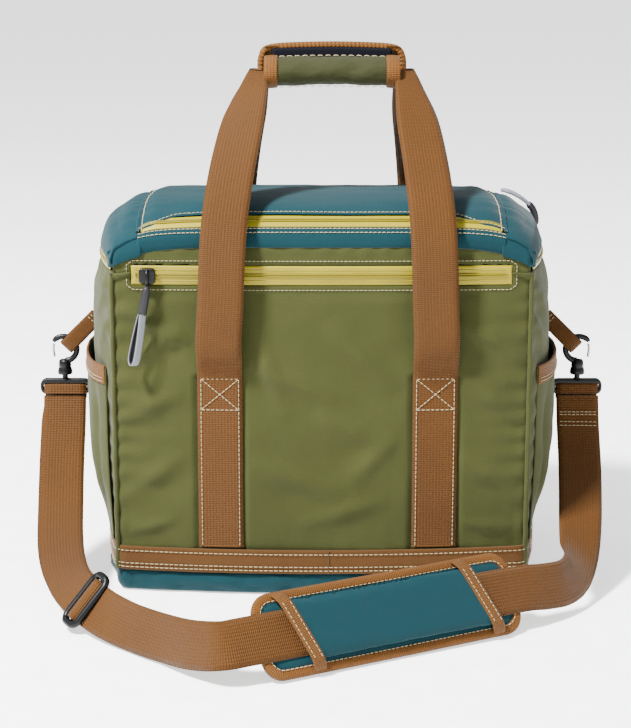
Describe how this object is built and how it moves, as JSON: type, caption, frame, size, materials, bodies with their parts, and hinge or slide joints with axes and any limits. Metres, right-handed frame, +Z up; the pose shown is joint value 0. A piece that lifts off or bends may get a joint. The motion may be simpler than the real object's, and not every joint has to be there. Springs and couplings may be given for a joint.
{
  "type": "insulated cooler bag",
  "caption": "Soft insulated cooler bag with a zipped padded lid, paired carry handles, side slip pockets, a zipped front pocket and a hooked shoulder strap.",
  "frame": {"origin": "middle of the bag's base, on the ground, under the centre of its plan", "axes": "+X to the right seen from the front, +Y towards the back, +Z up; the zipped pocket faces -Y"},
  "size_m": [0.498, 0.453, 0.4482],
  "materials": {
    "olive_canvas": "coated woven nylon, matt",
    "teal_canvas": "coated woven nylon, matt",
    "zip_yellow": "laminated zip tape, satin",
    "webbing": "ribbed nylon webbing",
    "binding": "narrow ribbed binding tape",
    "foam": "closed-cell foam",
    "liner": "coated food-safe liner, wipe-clean",
    "black_plastic": "moulded acetal, satin",
    "board": "stiff sheet",
    "wire": "spring wire, bright",
    "pull_tape": "reflective grey cord loop with a dark sleeve",
    "closure": "dark hook-and-loop"
  },
  "bodies": {
    "root": {"base_tub": "teal_canvas", "lid_facing_strip": "teal_canvas", "base_board": "board", "base_foam": "foam", "left_foam": "foam", "right_foam": "foam", "front_foam": "foam", "back_foam": "foam", "trim_band": "binding", "left_pocket_binding": "binding", "right_pocket_binding": "binding", "front_panel": "olive_canvas", "back_panel": "olive_canvas", "left_side_panel": "olive_canvas", "right_side_panel": "olive_canvas", "left_pocket": "olive_canvas", "right_pocket": "olive_canvas", "front_pocket_lining": "liner", "liner_tub": "liner", "lid_zip_body_tape": "zip_yellow", "lid_zip_left_tape": "zip_yellow", "lid_zip_right_tape": "zip_yellow", "front_zip_tape": "zip_yellow", "left_hook_frame": "black_plastic", "right_hook_frame": "black_plastic", "front_left_strap_sewn": "webbing", "front_right_strap_sewn": "webbing", "back_left_strap_sewn": "webbing", "back_right_strap_sewn": "webbing", "left_side_loop": "webbing", "right_side_loop": "webbing", "shoulder_strap": "webbing", "strap_adjust_ply": "webbing"},
    "lid": {"lid_cover": "teal_canvas", "lid_left_end": "teal_canvas", "lid_right_end": "teal_canvas", "lid_zip_lid_tape": "zip_yellow", "lid_foam": "foam", "lid_liner": "liner"},
    "lid_slider": {"lid_zip_slider": "black_plastic"},
    "lid_pull": {"lid_zip_pull": "pull_tape"},
    "front_slider": {"front_zip_slider": "black_plastic"},
    "front_pull": {"front_zip_pull": "pull_tape"},
    "front_handle": {"front_handle_webbing": "webbing", "front_grip_cover": "olive_canvas", "front_grip_closure": "closure"},
    "back_handle": {"back_handle_webbing": "webbing", "back_grip_cover": "olive_canvas", "back_grip_closure": "closure"},
    "left_hook": {"left_hook": "black_plastic"},
    "left_gate": {"left_hook_gate": "wire"},
    "right_hook": {"right_hook": "black_plastic"},
    "right_gate": {"right_hook_gate": "wire"},
    "strap_slider": {"strap_slider": "black_plastic"},
    "pad": {"pad_base": "teal_canvas", "pad_cover": "teal_canvas", "pad_binding": "binding", "pad_left_keeper": "binding", "pad_right_keeper": "binding"}
  },
  "joints": [
    {"name": "front_handle_swing", "type": "hinge", "parent": "root", "child": "front_handle", "pos_m": [0.005, -0.1175, 0.1888], "axis": [1, 0, 0], "range_deg": [0, 100]},
    {"name": "lid_open", "type": "hinge", "parent": "root", "child": "lid", "pos_m": [0, 0.1145, 0.2965], "axis": [-1, 0, 0], "range_deg": [0, 100]},
    {"name": "back_handle_swing", "type": "hinge", "parent": "root", "child": "back_handle", "pos_m": [0.005, 0.1175, 0.1888], "axis": [-1, 0, 0], "range_deg": [0, 50]},
    {"name": "lid_slider_travel", "type": "hinge", "parent": "lid", "child": "lid_slider", "pos_m": [-0.1, 0, 0.2795], "axis": [0, 0, -1], "range_deg": [0, 26]},
    {"name": "lid_pull_swing", "type": "hinge", "parent": "lid_slider", "child": "lid_pull", "pos_m": [0.1946, 0.062, 0.2865], "axis": [0, 1, 0], "range_deg": [0, 150]},
    {"name": "front_slider_travel", "type": "slide", "parent": "root", "child": "front_slider", "axis": [1, 0, 0], "range_m": [0, 0.284]},
    {"name": "front_pull_swing", "type": "hinge", "parent": "front_slider", "child": "front_pull", "pos_m": [-0.142, -0.1209, 0.263], "axis": [-1, 0, 0], "range_deg": [0, 150]},
    {"name": "left_hook_turn", "type": "hinge", "parent": "root", "child": "left_hook", "pos_m": [-0.227, 0, 0.17], "axis": [0, 0, 1], "range_deg": [-12, 12]},
    {"name": "left_gate_open", "type": "hinge", "parent": "left_hook", "child": "left_gate", "pos_m": [-0.2361, 0, 0.1789], "axis": [0, 1, 0], "range_deg": [0, 25], "stiffness_Nm_per_rad": 0.005},
    {"name": "right_hook_turn", "type": "hinge", "parent": "root", "child": "right_hook", "pos_m": [0.227, 0, 0.17], "axis": [0, 0, 1], "range_deg": [-12, 12]},
    {"name": "right_gate_open", "type": "hinge", "parent": "right_hook", "child": "right_gate", "pos_m": [0.2361, 0, 0.1789], "axis": [0, -1, 0], "range_deg": [0, 25], "stiffness_Nm_per_rad": 0.005},
    {"name": "strap_slider_travel", "type": "slide", "parent": "root", "child": "strap_slider", "axis": [0.5402, -0.8348, -0.1064], "range_m": [-0.004, 0.0015]},
    {"name": "pad_travel", "type": "slide", "parent": "root", "child": "pad", "axis": [0.8848, 0.4659, 0], "range_m": [-0.004, 0.008]}
  ],
  "couplings": [
    {"joint": "lid_open", "follows": "front_handle_swing", "ratio": 1},
    {"joint": "back_handle_swing", "follows": "front_handle_swing", "ratio": 0.5}
  ]
}
